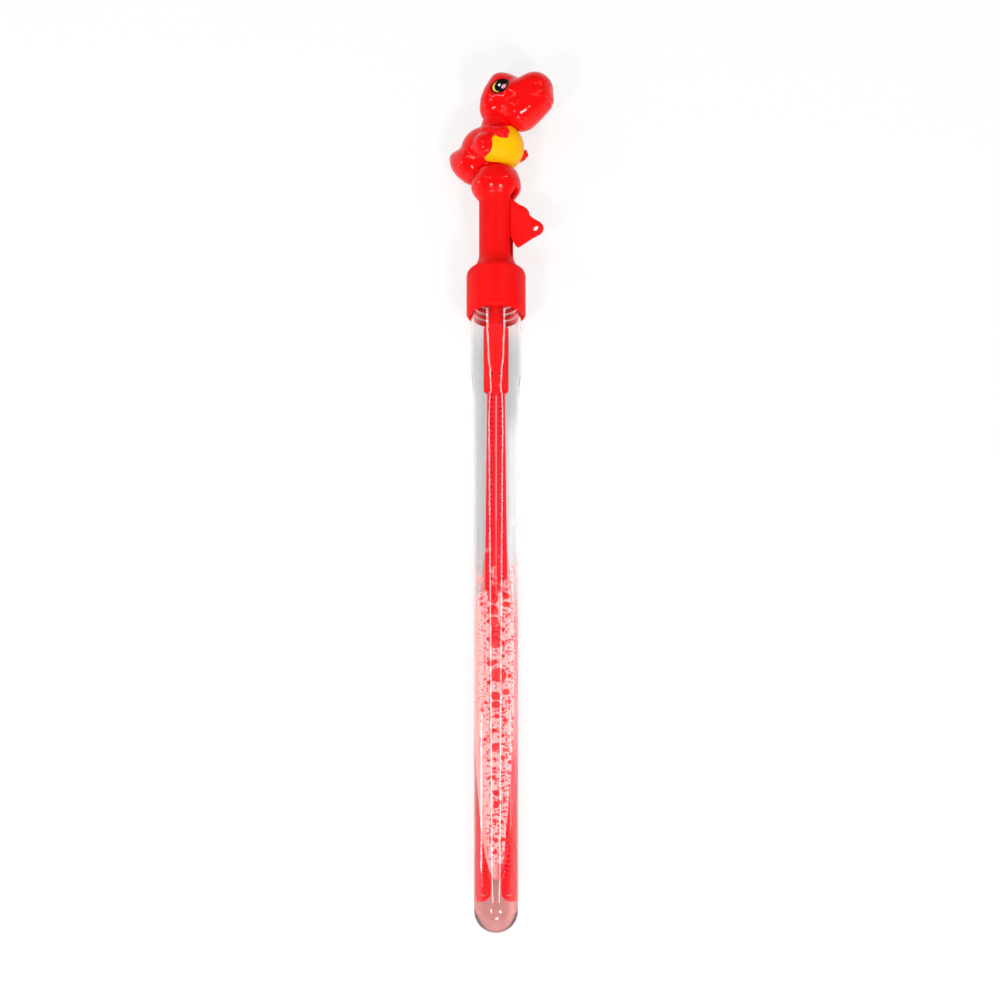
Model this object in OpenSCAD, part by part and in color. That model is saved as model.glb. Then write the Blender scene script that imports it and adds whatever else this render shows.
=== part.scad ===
// Bubble wand: a closed tube of solution, and a trigger-handled wand with two ribbed arms that lives in it.
// The wand lies on its side. The tube's axis is +Y, its round end's centre is the origin, and +Z is up.
// Each piece is drawn standing on the round end's centre, with its axis along Z, and is then laid down.

/* [Tube] */
// Outside diameter of the straight tube
tube_d = 21.5; // [19:0.1:23]
// Wall of the tube
tube_wall = 0.9; // [0.6:0.05:1.1]
// Straight length from the round end's centre to the shoulder
tube_l = 272; // [240:1:320]
// Height of the cone between the tube and its wide mouth
shoulder_h = 14; // [8:1:24]
// Outside diameter of the wide mouth
mouth_d = 24.2; // [23:0.1:26]
// Length of the wide mouth, from the cone to the lip
mouth_l = 50; // [40:1:70]
// How far a retaining bead stands out from the mouth
bead_proud = 0.5; // [0.2:0.05:0.7]
// Axial spacing of the beads
bead_pitch = 3.4; // [2.6:0.1:4.2]
// Number of beads under the lip
bead_count = 3; // [1:1:4]

/* [Cap] */
// How far the skirt reaches down over the mouth
skirt_l = 19; // [16:0.5:26]
// Wall of the skirt outside its thread
skirt_wall = 1.3; // [0.9:0.1:2]
// Thickness of the cap's roof
roof_t = 4; // [3:0.1:6]
// Rounding of the cap's upper edge
cap_round = 3.2; // [1.5:0.1:3.8]
// Chamfer of the cap's lower rim
rim_chamfer = 1.1; // [0.4:0.1:1.2]
// Thickness of the sealing washer
washer_t = 1.2; // [0.6:0.1:2]
// Radial width of the sealing washer
washer_w = 3.3; // [2:0.1:4]

/* [Handle] */
// Diameter of the foot that stands on the cap
foot_d = 24.4; // [20:0.1:25]
// Height of the flare from the foot to the grip
foot_h = 9; // [7:0.5:14]
// Diameter of the grip
grip_d = 16.6; // [15.4:0.1:19]
// Length of the straight grip
grip_l = 29.5; // [26:0.5:40]
// Largest diameter of the collar under the figure
collar_d = 24.4; // [22:0.1:28]
// Height from the grip to the collar's largest diameter
collar_rise = 7; // [5:0.5:10]
// Height from there to the collar's top
collar_crown = 7.4; // [5:0.1:10]
// Diameter of the collar's top
seat_d = 20.6; // [18:0.1:22]
// Wall of the handle's shells
shell_wall = 1.6; // [1.2:0.1:1.9]

/* [Figure] */
// Height of the dinosaur above the collar
figure_h = 52; // [44:0.5:60]
// Wall of the figure's shells
figure_wall = 1.8; // [1.2:0.1:2.4]
// Distance of the belly plate's edge from the chest's centre
belly_cut = 1.8; // [0.5:0.1:5]
// Downward lean of the belly plate
belly_lean = 36; // [20:1:45]
// How far the belly plate stands out from the chest
belly_proud = 0.3; // [0:0.05:0.6]

/* [Trigger] */
// Thickness of the trigger
trigger_t = 2.6; // [2:0.1:4]
// How far the trigger reaches forward of its pivot
trigger_reach = 28.1; // [25:0.1:31]
// How far the trigger hangs below its pivot
trigger_drop = 33.7; // [31:0.1:34.5]
// Diameter of the trigger's pivot pin
pivot_d = 2.4; // [1.8:0.1:3]
// Diameter of the hole in the trigger's tip
eye_d = 3.2; // [2:0.1:4]
// Squeeze of the trigger that the drawing shows
squeeze = 0; // [0:0.5:18]

/* [Push rod] */
// Diameter of the push rod
rod_d = 3; // [2.4:0.1:3.4]
// Thickness of each side bar of the yoke
bar_t = 1.6; // [1.2:0.1:1.8]
// Width of each side bar
bar_w = 3.6; // [3:0.1:4]
// Diameter of the pin between trigger and yoke
link_d = 2; // [1.4:0.1:2.2]
// Wire of the return spring
spring_wire = 0.7; // [0.5:0.05:0.8]
// Turns of the return spring
spring_turns = 8; // [5:1:9]

/* [Stem and arms] */
// Diameter of the stem's thin upper part
stem_d = 7.4; // [7:0.1:9]
// Outside diameter of the stem's sleeve
sleeve_d = 12.2; // [11.6:0.1:14]
// Wall of the sleeve
sleeve_wall = 1.2; // [0.8:0.05:1.3]
// Length of the sleeve
sleeve_l = 34; // [28:0.5:44]
// Depth of the sleeve's open mouth
socket_l = 23; // [18:0.5:25]
// Height of an arm's pivot above the sleeve's end
pivot_rise = 7; // [5:0.5:9]
// Diameter of an arm's pin
arm_pin_d = 1.8; // [1.2:0.1:2]
// Height of the arms' tips above the round end's centre
tip_z = 4.5; // [2:0.5:20]
// Width of an arm at its root
arm_root_w = 4; // [3.4:0.1:4]
// Width of an arm at its tip
arm_tip_w = 5.4; // [4.4:0.1:5.6]
// Thickness of an arm
arm_t = 3.6; // [2.6:0.1:3.8]
// Spacing of an arm's ribs
rib_pitch = 2.6; // [2:0.1:5]
// Angle of each arm from the axis
arm_splay = 0.5; // [0.2:0.05:0.6]

/* [Rest] */
// Roll of the handle about the axis, which lays the figure on its hip
roll = 22; // [0:1:40]

/* [Hidden] */
$fn = 48;
// Running clearance of a pin in a bore, on the radius
run_fit = 0.05;
// Clearance of a pressed or seated piece, on the radius
seat_fit = 0.03;
// Gap between shells that stand against each other
shell_gap = 0.06;
// Gap between the tube's lip and the washer
lip_gap = 0.1;
// Gap all round a piece that passes another in use
pass_gap = 0.25;
// Overrun of every cut
over = 2;

// Tube
tube_r = tube_d / 2;
mouth_r = mouth_d / 2;
mouth_z = tube_l + shoulder_h;
lip_z = mouth_z + mouth_l;
bore_r = tube_r - tube_wall;
bead_h_share = 0.45;
bead_h = bead_pitch * bead_h_share;
arc_steps = 12;

// Cap
cap_bead = bead_proud / 2;
thread_r = mouth_r + bead_proud + pass_gap + cap_bead;
cap_r = thread_r + skirt_wall;
rim_z = lip_z - skirt_l;
washer_z = lip_z + lip_gap;
roof_z = washer_z + washer_t;
foot_z = roof_z + roof_t;
washer_r = thread_r - pass_gap;
round_steps = 6;

// Handle
foot_r = foot_d / 2;
grip_r = grip_d / 2;
collar_r = collar_d / 2;
seat_r = seat_d / 2;
grip_z = foot_z + foot_h;
neck_z = grip_z + grip_l;
collar_z = neck_z + collar_rise;
seat_z = collar_z + collar_crown;
flare_power = 2.2;
flare_steps = 6;
spigot_h_share = 0.27;
spigot_h = foot_h * spigot_h_share;
spigot_r = handle_r(foot_z + spigot_h) - shell_wall - shell_gap;
spigot_wall = shell_wall;

// Trigger, with its pivot behind the axis at the collar's widest place
pivot_back_share = 0.42;
pivot_x = -grip_r * pivot_back_share;
pivot_sink_share = 0.1;
pivot_z = collar_z - collar_rise * pivot_sink_share;
hub_wall = 2;
hub_r = pivot_d / 2 + hub_wall;
slot_room = 0.6;
slot_w = trigger_t + 2 * slot_room;
slot_sink_share = 0.3;
slot_low_z = grip_z - foot_h * slot_sink_share;
slot_top_room = 2.8;
slot_top_z = collar_z - slot_top_room;
// Outline of the trigger as shares of its reach and its drop, from the hub round its outer edge
trigger_outline_shares = [
    [0.07, -0.068], [0.552, 0.309], [0.70, 0.42], [0.90, 0.63], [0.925, 0.855],
    [0.665, 0.944], [0.516, 1], [0.452, 0.905], [-0.07, 0.07]
];
// Lobes of the scalloped edge: forward share, drop share, radius as a share of the reach
trigger_lobe_shares = [[0.569, 0.4985, 0.167], [0.868, 0.7507, 0.132]];
trigger_eye_shares = [0.868, 0.7507];

// Yoke of the push rod, which stands on both sides of the trigger
link_ahead = 4.5;
link_x = pivot_x + link_ahead;
link_below = 5;
link_z = pivot_z - link_below;
link_run = 1.9;
bar_room = 0.5;
bar_y = trigger_t / 2 + bar_room;
bar_x = link_x / 2;
bar_wall = 0.6;
bar_head = link_d / 2 + bar_wall;
flange_h = 1.8;
// Travel of the rod for the whole squeeze, and the squeeze at the stop in degrees
rod_travel = 1.6;
yoke_room = 0.7;
yoke_z = foot_z + flange_h + rod_travel + yoke_room;
yoke_t = 2;
trigger_stop = 18;
rod_now = rod_travel * squeeze / trigger_stop;

// Stem
sleeve_r = sleeve_d / 2;
stem_r = stem_d / 2;
flange_rim = 1.9;
flange_r = stem_r + flange_rim;
sleeve_below = 9;
sleeve_z = mouth_z - sleeve_below;
arm_l = sleeve_z + pivot_rise - tip_z;
arm_pivot_z = tip_z + arm_l;
sleeve_top_z = sleeve_z + sleeve_l;
socket_r = sleeve_r - sleeve_wall;
sleeve_chamfer = 1;
rod_bore_r = rod_d / 2 + run_fit;
spring_room = 0.35;
spring_r = rod_d / 2 + spring_wire / 2 + spring_room;
pocket_r = spring_r + spring_wire / 2 + spring_room;
pocket_l = 15;
pocket_z = foot_z - pocket_l;

// Arms
arm_gap = 0.4;
arm_x = arm_root_w / 2 + arm_gap / 2;
heel_l = 4;
rail_w = 1.1;
web_t = 1;
rib_t_share = 0.5;
rib_margin = 9;
cheek_gap = 0.15;
cheek_full_share = 0.5;
cheek_end_share = 0.8;
tip_hole_share = 0.4;
rod_tip_room = 0.7;
rod_tip_z = arm_pivot_z + heel_l + rod_travel + rod_tip_room;
pin_inset = 0.2;
pin_l = 2 * sqrt(pow(sleeve_r, 2) - pow(arm_x + arm_pin_d / 2, 2)) - pin_inset;

// Figure: balls as shares of its height, each forward of the axis, above the seat and in diameter
head_ball_shares = [
    [0.085, 0.769, 0.458], [0.352, 0.754, 0.408], [0.262, 0.662, 0.462], [0.066, 0.677, 0.423],
    [0.202, 0.727, 0.4]
];
neck_shares = [0.031, 0.48, 0.33];
back_shares = [-0.113, 0.256, 0.442];
hip_shares = [-0.208, 0.11, 0.423];
chest_shares = [0.021, 0.262, 0.473];
tail_ball_shares = [[-0.304, 0.16, 0.285], [-0.388, 0.213, 0.154]];
thigh_shares = [-0.06, 0.16, 0.3];
thigh_side_share = 0.13;
// Each forelimb from its shoulder to its paw: forward, sideways and rise as shares of the height
near_limb_shares = [[0, 0.12, 0.33], [0.135, 0.18, 0.315]];
far_limb_shares = [[0, 0.12, 0.31], [0.175, 0.16, 0.225]];
limb_d_share = 0.125;
paw_d_share = 0.155;
waist_h_share = 0.055;
figure_inset = 0.2;
ball_turn = 45;
waist_r = seat_r - figure_inset;
chest_r = figure_h * chest_shares[2] / 2;
belly_z = seat_z + figure_h * chest_shares[1];

// Lays an upright piece down along +Y
module lay() { rotate([-90, 0, 0]) children(); }

// Lays down a piece of the handle, rolled with it
module lay_rolled() { rotate([-90, 0, 0]) rotate([0, 0, -roll]) children(); }

// Outside radius of the handle at a height
function handle_r(z) =
    z < grip_z ? grip_r + (foot_r - grip_r) * pow(1 - (z - foot_z) / foot_h, flare_power) :
    z < neck_z ? grip_r :
    z < collar_z ? grip_r + (collar_r - grip_r) * sin(90 * (z - neck_z) / collar_rise) :
    seat_r + (collar_r - seat_r) * cos(90 * (z - collar_z) / collar_crown);

function steps(from, to, count) = [for (i = [0 : count]) from + (to - from) * i / count];

// Heights at which the handle's outline has a point
handle_heights = concat(
    steps(foot_z, grip_z, flare_steps), steps(neck_z, collar_z, flare_steps),
    [for (z = steps(collar_z, seat_z, flare_steps)) if (z > collar_z) z]
);

// Outline of the handle, grown outwards by a gap
function handle_outline(gap) = concat(
    [[0, foot_z]],
    [for (z = handle_heights) [handle_r(z) + gap, z + (z == seat_z ? gap : 0)]],
    [[0, seat_z + gap]]
);

// Outline of the handle's hollow
function handle_hollow() = concat(
    [[0, foot_z - over], [foot_r - shell_wall, foot_z - over]],
    [for (z = handle_heights) if (z < seat_z - shell_wall) [handle_r(z) - shell_wall, z]],
    [[handle_r(seat_z - shell_wall) - shell_wall, seat_z - shell_wall], [0, seat_z - shell_wall]]
);

// Outline of the tube's outside or, with an inset, of its inside
function tube_outline(inset, top) = concat(
    [for (i = [0 : arc_steps])
        [(tube_r - inset) * sin(90 * i / arc_steps), -(tube_r - inset) * cos(90 * i / arc_steps)]],
    [[tube_r - inset, tube_l], [mouth_r - inset, mouth_z], [mouth_r - inset, top], [0, top]]
);

module tube() {
    color([0.9, 0.9, 0.92, 0.4]) lay() difference() {
        union() {
            rotate_extrude() polygon(tube_outline(0, lip_z));
            for (i = [1 : bead_count])
                translate([0, 0, lip_z - i * bead_pitch])
                    rotate_extrude() polygon([
                        [mouth_r - tube_wall / 2, 0], [mouth_r, 0], [mouth_r + bead_proud, bead_h / 3],
                        [mouth_r + bead_proud, bead_h * 2 / 3], [mouth_r, bead_h], [mouth_r - tube_wall / 2, bead_h]
                    ]);
        }
        rotate_extrude() polygon(tube_outline(tube_wall, lip_z + over));
    }
}

module sealing_washer() {
    color("ivory") lay() translate([0, 0, washer_z]) difference() {
        cylinder(r = washer_r, h = washer_t);
        translate([0, 0, -over]) cylinder(r = washer_r - washer_w, h = washer_t + 2 * over);
    }
}

// Outline of the cap's outside, with a chamfered rim and a rounded upper edge
function cap_outline() = concat(
    [[0, rim_z], [cap_r - rim_chamfer, rim_z], [cap_r, rim_z + rim_chamfer]],
    [for (i = [0 : round_steps])
        [cap_r - cap_round * (1 - cos(90 * i / round_steps)) * cap_lean_share,
            foot_z - cap_round * (1 - sin(90 * i / round_steps))]],
    [[0, foot_z]]
);
cap_lean_share = 0.62;

module screw_cap() {
    color("red") lay() difference() {
        union() {
            rotate_extrude() polygon(cap_outline());
            translate([0, 0, foot_z - roof_t / 2]) cylinder(r = spigot_r, h = roof_t / 2 + spigot_h);
        }
        difference() {
            translate([0, 0, rim_z - over]) cylinder(r = thread_r, h = roof_z - rim_z + over);
            for (i = [1 : bead_count])
                translate([0, 0, lip_z - (i + bead_h_share) * bead_pitch - bead_h])
                    rotate_extrude() polygon([
                        [thread_r + over, 0], [thread_r, 0], [thread_r - cap_bead, bead_h / 3],
                        [thread_r - cap_bead, bead_h * 2 / 3], [thread_r, bead_h], [thread_r + over, bead_h]
                    ]);
        }
        translate([0, 0, roof_z - over]) cylinder(r = stem_r + seat_fit, h = roof_t + spigot_h + 2 * over);
        translate([0, 0, foot_z]) cylinder(r = spigot_r - spigot_wall, h = spigot_h + over);
    }
}

module wand_stem() {
    color("red") lay() difference() {
        union() {
            rotate_extrude() polygon([
                [0, sleeve_z], [sleeve_r, sleeve_z], [sleeve_r, sleeve_top_z - sleeve_chamfer],
                [sleeve_r - sleeve_chamfer, sleeve_top_z], [stem_r, sleeve_top_z], [stem_r, foot_z],
                [flange_r, foot_z], [flange_r, foot_z + flange_h], [0, foot_z + flange_h]
            ]);
        }
        translate([0, 0, sleeve_z - over]) cylinder(r = socket_r, h = socket_l + over);
        translate([0, 0, sleeve_z]) cylinder(r = rod_bore_r, h = foot_z - sleeve_z);
        translate([0, 0, pocket_z]) cylinder(r = pocket_r, h = pocket_l + flange_h + over);
        for (side = [-1, 1])
            translate([side * arm_x, 0, arm_pivot_z])
                rotate([90, 0, 0]) cylinder(d = arm_pin_d + 2 * seat_fit, h = sleeve_d, center = true);
    }
}

// Half of the handle on the +Y side: a shell with a boss for the pivot pin, slotted for the trigger
module handle_half() {
    difference() {
        union() {
            difference() {
                rotate_extrude(angle = 180) polygon(handle_outline(0));
                rotate_extrude() polygon(handle_hollow());
            }
            intersection() {
                translate([pivot_x, bar_y, pivot_z]) rotate([-90, 0, 0]) cylinder(r = hub_r, h = collar_r);
                rotate_extrude() polygon(handle_outline(-shell_wall / 2));
            }
        }
        translate([0, -over, slot_low_z])
            cube([collar_r + over, slot_w / 2 + over, slot_top_z - slot_low_z]);
        translate([pivot_x, -over, pivot_z])
            rotate([-90, 0, 0]) cylinder(d = pivot_d + 2 * seat_fit, h = bar_y + boss_depth + over);
    }
}
boss_depth = 4;

module handle_near_shell() { color("red") lay_rolled() mirror([0, 1, 0]) handle_half(); }

module handle_far_shell() { color("crimson") lay_rolled() handle_half(); }

// A ball of the figure, from its row of shares, grown by a margin and turned so that its seam lies inside
module figure_ball(shares, grow, side = 0) {
    translate([shares[0] * figure_h, side * figure_h, seat_z + shares[1] * figure_h])
        rotate([90, 0, 0]) rotate([0, 0, ball_turn]) sphere(r = shares[2] * figure_h / 2 + grow);
}

// A limb on the +Y side, from its root inside the chest to its paw
module figure_limb(limb) {
    from = [limb[0][0] * figure_h, limb[0][1] * figure_h, seat_z + limb[0][2] * figure_h];
    to = [limb[1][0] * figure_h, limb[1][1] * figure_h, seat_z + limb[1][2] * figure_h];
    way = to - from;
    translate(to) rotate([90, 0, 0]) sphere(d = paw_d_share * figure_h);
    translate(from)
        rotate([0, acos(way[2] / norm(way)), atan2(way[1], way[0])])
            cylinder(d = limb_d_share * figure_h, h = norm(way));
}

// All that lies on the other side of the parting plane
module other_half() {
    translate([-figure_h, -2 * figure_h, seat_z - figure_h]) cube([2 * figure_h, 2 * figure_h, 3 * figure_h]);
}

// Half of the head on the +Y side, hollow, with a socket over the neck
module head_half() {
    difference() {
        union() { for (ball = head_ball_shares) figure_ball(ball, 0); }
        union() { for (ball = head_ball_shares) figure_ball(ball, -figure_wall); }
        figure_ball(neck_shares, shell_gap);
        figure_ball(chest_shares, belly_proud + shell_gap);
        other_half();
    }
}

// The body's balls, or its hollow with a negative margin
module body_balls(grow) {
    for (ball = [neck_shares, chest_shares, back_shares, hip_shares]) figure_ball(ball, grow);
}

// All that lies in front of the belly plate's slanted edge, grown by a gap
module belly_front(gap) {
    translate([chest_shares[0] * figure_h, 0, belly_z]) rotate([0, 90 + belly_lean, 0])
        translate([-figure_h / 2, -figure_h / 2, belly_cut - gap]) cube(figure_h);
}

// Half of the body on the +Y side, open in front for the belly plate
module body_half() {
    difference() {
        union() {
            difference() {
                union() {
                    body_balls(0);
                    for (ball = tail_ball_shares) figure_ball(ball, 0);
                }
                belly_front(shell_gap);
            }
            difference() {
                figure_ball(thigh_shares, 0, thigh_side_share);
                figure_ball(chest_shares, belly_proud + shell_gap);
            }
            translate([0, 0, seat_z - over]) cylinder(r = waist_r, h = figure_h * waist_h_share + over);
        }
        union() { body_balls(-figure_wall); }
        translate([0, 0, seat_z - over]) cylinder(r = waist_r - figure_wall, h = figure_h * waist_h_share + 2 * over);
        rotate_extrude() polygon(handle_outline(shell_gap));
        other_half();
    }
}

// A forelimb on the +Y side, set on the chest
module forelimb(limb) {
    difference() {
        figure_limb(limb);
        figure_ball(chest_shares, belly_proud + shell_gap);
    }
}

module forelimb_near() { color("red") lay_rolled() mirror([0, 1, 0]) forelimb(near_limb_shares); }

module forelimb_far() { color("crimson") lay_rolled() forelimb(far_limb_shares); }

module head_near_shell() { color("red") lay_rolled() mirror([0, 1, 0]) head_half(); }

module head_far_shell() { color("crimson") lay_rolled() head_half(); }

module body_near_shell() { color("red") lay_rolled() mirror([0, 1, 0]) body_half(); }

module body_far_shell() { color("crimson") lay_rolled() body_half(); }

module belly_plate() {
    color("gold") lay_rolled() intersection() {
        difference() {
            figure_ball(chest_shares, belly_proud);
            figure_ball(chest_shares, -figure_wall);
        }
        belly_front(0);
    }
}

module trigger() {
    color("red") lay_rolled() translate([pivot_x, 0, pivot_z]) rotate([0, squeeze, 0]) rotate([90, 0, 0])
        difference() {
            union() {
                cylinder(r = hub_r, h = trigger_t, center = true);
                linear_extrude(trigger_t, center = true)
                    polygon([for (p = trigger_outline_shares) [p[0] * trigger_reach, -p[1] * trigger_drop]]);
                for (p = trigger_lobe_shares)
                    translate([p[0] * trigger_reach, -p[1] * trigger_drop, 0])
                        cylinder(r = p[2] * trigger_reach, h = trigger_t, center = true);
            }
            cylinder(d = pivot_d + 2 * run_fit, h = trigger_t + over, center = true);
            translate([trigger_eye_shares[0] * trigger_reach, -trigger_eye_shares[1] * trigger_drop, 0])
                cylinder(d = eye_d, h = trigger_t + over, center = true);
            translate([link_ahead - link_d / 2 - pass_gap, -link_below - link_d / 2 - 2 * pass_gap, -trigger_t])
                cube([link_d + link_run + 2 * pass_gap, link_d + 4 * pass_gap, 2 * trigger_t]);
        }
}

module trigger_pin() {
    color("silver") lay_rolled() translate([pivot_x, 0, pivot_z])
        rotate([90, 0, 0]) cylinder(d = pivot_d, h = 2 * (bar_y + boss_depth - seat_fit), center = true);
}

module push_rod() {
    color("white") lay_rolled() translate([0, 0, -rod_now]) difference() {
        union() {
            translate([0, 0, rod_tip_z]) cylinder(d = rod_d, h = yoke_z - rod_tip_z + yoke_t / 2);
            translate([bar_x - bar_w / 2, -bar_y - bar_t, yoke_z]) cube([bar_w, 2 * (bar_y + bar_t), yoke_t]);
            for (side = [0, 1])
                mirror([0, side, 0]) translate([bar_x - bar_w / 2, bar_y, yoke_z])
                    cube([bar_w, bar_t, link_z + bar_head - yoke_z]);
        }
        translate([link_x, 0, link_z])
            rotate([90, 0, 0]) cylinder(d = link_d + 2 * seat_fit, h = 2 * (bar_y + bar_t + over), center = true);
    }
}

module link_pin() {
    color("silver") lay_rolled() translate([link_x, 0, link_z - rod_now])
        rotate([90, 0, 0]) cylinder(d = link_d, h = 2 * (bar_y + bar_t), center = true);
}

// Spring: one round wire along a helix, with a ring of points at each step
spring_sides = 6;
spring_rings = 8;
spring_low = pocket_z + spring_wire / 2 + lip_gap;
spring_high = yoke_z - spring_wire / 2 - lip_gap;
spring_steps = spring_turns * spring_rings;
function spring_point(i) = [
    spring_r * cos(360 * i / spring_rings), spring_r * sin(360 * i / spring_rings),
    spring_low + (spring_high - spring_low) * i / spring_steps
];
function spring_ring(i) = let (out = [cos(360 * i / spring_rings), sin(360 * i / spring_rings), 0])
    [for (k = [0 : spring_sides - 1]) spring_point(i)
        + spring_wire / 2 * (cos(360 * k / spring_sides) * out + sin(360 * k / spring_sides) * [0, 0, 1])];
// Least gap between two turns of the wire
spring_gap = (spring_high - spring_low) / spring_turns - spring_wire;
echo(spring_gap = spring_gap);

module return_spring() {
    points = [for (i = [0 : spring_steps]) each spring_ring(i)];
    last = spring_steps * spring_sides;
    faces = concat(
        [for (k = [1 : spring_sides - 2]) [0, k, k + 1]],
        [for (k = [1 : spring_sides - 2]) [last, last + k + 1, last + k]],
        [for (i = [0 : spring_steps - 1], k = [0 : spring_sides - 1], half = [0, 1])
            let (a = i * spring_sides + k, b = i * spring_sides + (k + 1) % spring_sides)
            half == 0 ? [a, a + spring_sides, b] : [b, a + spring_sides, b + spring_sides]]
    );
    color("silver") lay() polyhedron(points, faces);
}

// Width of an arm at a distance below its pivot
function arm_w(drop) = arm_root_w + (arm_tip_w - arm_root_w) * drop / arm_l;

// Pockets between the ribs, as loops of points
rib_count = floor((arm_l - 2 * rib_margin) / rib_pitch);
arm_pockets = [for (i = [0 : rib_count - 1])
    let (
        top = rib_margin + i * rib_pitch, low = top + rib_pitch * (1 - rib_t_share),
        a = arm_w(top) / 2 - rail_w, b = arm_w(low) / 2 - rail_w
    ) [[-a, -top], [a, -top], [b, -low], [-b, -low]]];

// Inner edge of an arm where it lies along its twin
function cheek_x(drop) =
    max(arm_w(drop) / 2, (arm_x - cheek_gap + drop * sin(arm_splay)) / cos(arm_splay));

// Outside of an arm, from its heel to its round tip, with its inner edge towards +X
module arm_outline() {
    round_z = -arm_l + arm_tip_w / 2;
    cheek_full = cheek_full_share * arm_l;
    cheek_end = cheek_end_share * arm_l;
    polygon(concat(
        [[-arm_root_w / 2, 0], [-arm_root_w / 2, heel_l], [arm_root_w / 2, heel_l], [arm_root_w / 2, 0]],
        [[cheek_x(rib_margin), -rib_margin], [cheek_x(cheek_full), -cheek_full], [arm_w(cheek_end) / 2, -cheek_end]],
        [for (i = [0 : arc_steps])
            [arm_tip_w / 2 * cos(180 * i / arc_steps), round_z - arm_tip_w / 2 * sin(180 * i / arc_steps)]]
    ));
}

// An arm on its pin: two rails with ribs between them, over a thin web
module arm(side) {
    lay() translate([side * arm_x, 0, arm_pivot_z]) rotate([0, -side * arm_splay, 0]) rotate([90, 0, 0])
        difference() {
            linear_extrude(arm_t, center = true) mirror([side > 0 ? 1 : 0, 0]) arm_outline();
            for (face = [0, 1])
                mirror([0, 0, face]) translate([0, 0, web_t / 2]) linear_extrude(arm_t)
                    polygon(
                        [for (pocket = arm_pockets) each pocket],
                        [for (i = [0 : rib_count - 1]) [for (k = [0 : 3]) 4 * i + k]]
                    );
            cylinder(d = arm_pin_d + 2 * run_fit, h = arm_t + over, center = true);
            translate([0, -arm_l + arm_tip_w / 2, 0])
                cylinder(d = arm_tip_w * tip_hole_share, h = arm_t + over, center = true);
        }
}

module arm_left() { color("red") arm(-1); }

module arm_right() { color("red") arm(1); }

module arm_pins() {
    color("silver") lay() for (side = [-1, 1])
        translate([side * arm_x, 0, arm_pivot_z])
            rotate([90, 0, 0]) cylinder(d = arm_pin_d, h = pin_l, center = true);
}

tube();
sealing_washer();
screw_cap();
wand_stem();
handle_near_shell();
handle_far_shell();
body_near_shell();
body_far_shell();
forelimb_near();
forelimb_far();
head_near_shell();
head_far_shell();
belly_plate();
trigger();
trigger_pin();
push_rod();
link_pin();
return_spring();
arm_left();
arm_right();
arm_pins();
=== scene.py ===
import math
import random

import bmesh
import bpy
from mathutils import Matrix, Vector
from mathutils.bvhtree import BVHTree


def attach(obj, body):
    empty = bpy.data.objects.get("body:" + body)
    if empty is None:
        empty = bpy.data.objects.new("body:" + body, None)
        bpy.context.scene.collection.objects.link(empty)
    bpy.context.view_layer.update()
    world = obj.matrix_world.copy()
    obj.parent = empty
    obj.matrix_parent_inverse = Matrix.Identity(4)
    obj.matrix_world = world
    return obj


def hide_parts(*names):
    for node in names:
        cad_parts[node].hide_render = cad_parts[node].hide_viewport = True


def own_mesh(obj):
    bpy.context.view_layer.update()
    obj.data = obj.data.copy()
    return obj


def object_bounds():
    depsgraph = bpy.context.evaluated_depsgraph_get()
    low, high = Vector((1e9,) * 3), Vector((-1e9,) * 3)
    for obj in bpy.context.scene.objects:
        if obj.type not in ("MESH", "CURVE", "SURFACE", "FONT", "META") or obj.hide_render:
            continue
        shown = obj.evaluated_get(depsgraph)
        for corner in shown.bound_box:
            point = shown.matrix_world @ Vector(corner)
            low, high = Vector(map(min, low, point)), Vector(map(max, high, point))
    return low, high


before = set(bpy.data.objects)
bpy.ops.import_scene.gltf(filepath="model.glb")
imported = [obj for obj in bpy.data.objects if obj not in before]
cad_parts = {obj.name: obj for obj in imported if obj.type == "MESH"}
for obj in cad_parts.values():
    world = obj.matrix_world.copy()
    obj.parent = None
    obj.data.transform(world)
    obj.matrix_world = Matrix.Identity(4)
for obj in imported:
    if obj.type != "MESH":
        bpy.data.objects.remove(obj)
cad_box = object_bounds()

# The wand lies on a white table and is seen from above its round end,
# with its long axis up the picture. The lens is long, so lines stay nearly parallel.
scene = bpy.context.scene
scene.view_settings.view_transform = "Standard"
look_at = Vector((0.0019, 0.2188, 0.0))
camera_tilt = math.radians(65)
camera_distance = 20.0
camera_way = Vector((0, -math.cos(camera_tilt), math.sin(camera_tilt)))
camera = bpy.data.objects.new("camera", bpy.data.cameras.new("camera"))
camera.data.sensor_width = 36
camera.data.lens = 1485
camera.data.clip_end = 60
camera.location = look_at + camera_way * camera_distance
camera.rotation_euler = (math.pi / 2 - camera_tilt, 0, 0)
scene.collection.objects.link(camera)
scene.camera = camera


# White seamless table with soft boxes over it.
# The lamps stand high on both sides, so glossy plastic shows long soft highlights.
def linear(code):
    parts = [int(code[i:i + 2], 16) / 255 for i in (1, 3, 5)]
    return tuple(p / 12.92 if p <= 0.04045 else ((p + 0.055) / 1.055) ** 2.4 for p in parts) + (1.0,)


def add_node(tree, kind, settings=None, inputs=None):
    made = tree.nodes.new(kind)
    for name, value in (settings or {}).items():
        setattr(made, name, value)
    for name, value in (inputs or {}).items():
        if isinstance(value, bpy.types.NodeSocket):
            tree.links.new(value, made.inputs[name])
        else:
            made.inputs[name].default_value = value
    return made


def ramp(tree, value, low, high, start=0.0, end=1.0):
    return add_node(tree, "ShaderNodeMapRange", {}, {
        "Value": value, "From Min": low, "From Max": high, "To Min": start, "To Max": end}).outputs[0]


def calc(tree, operation, *values):
    return add_node(tree, "ShaderNodeMath", {"operation": operation}, dict(enumerate(values))).outputs[0]


def split_xyz(tree, vector):
    return add_node(tree, "ShaderNodeSeparateXYZ", {}, {"Vector": vector}).outputs


def new_material(name):
    material = bpy.data.materials.new(name)
    material.use_nodes = True
    material.node_tree.nodes.clear()
    return material, material.node_tree


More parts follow.
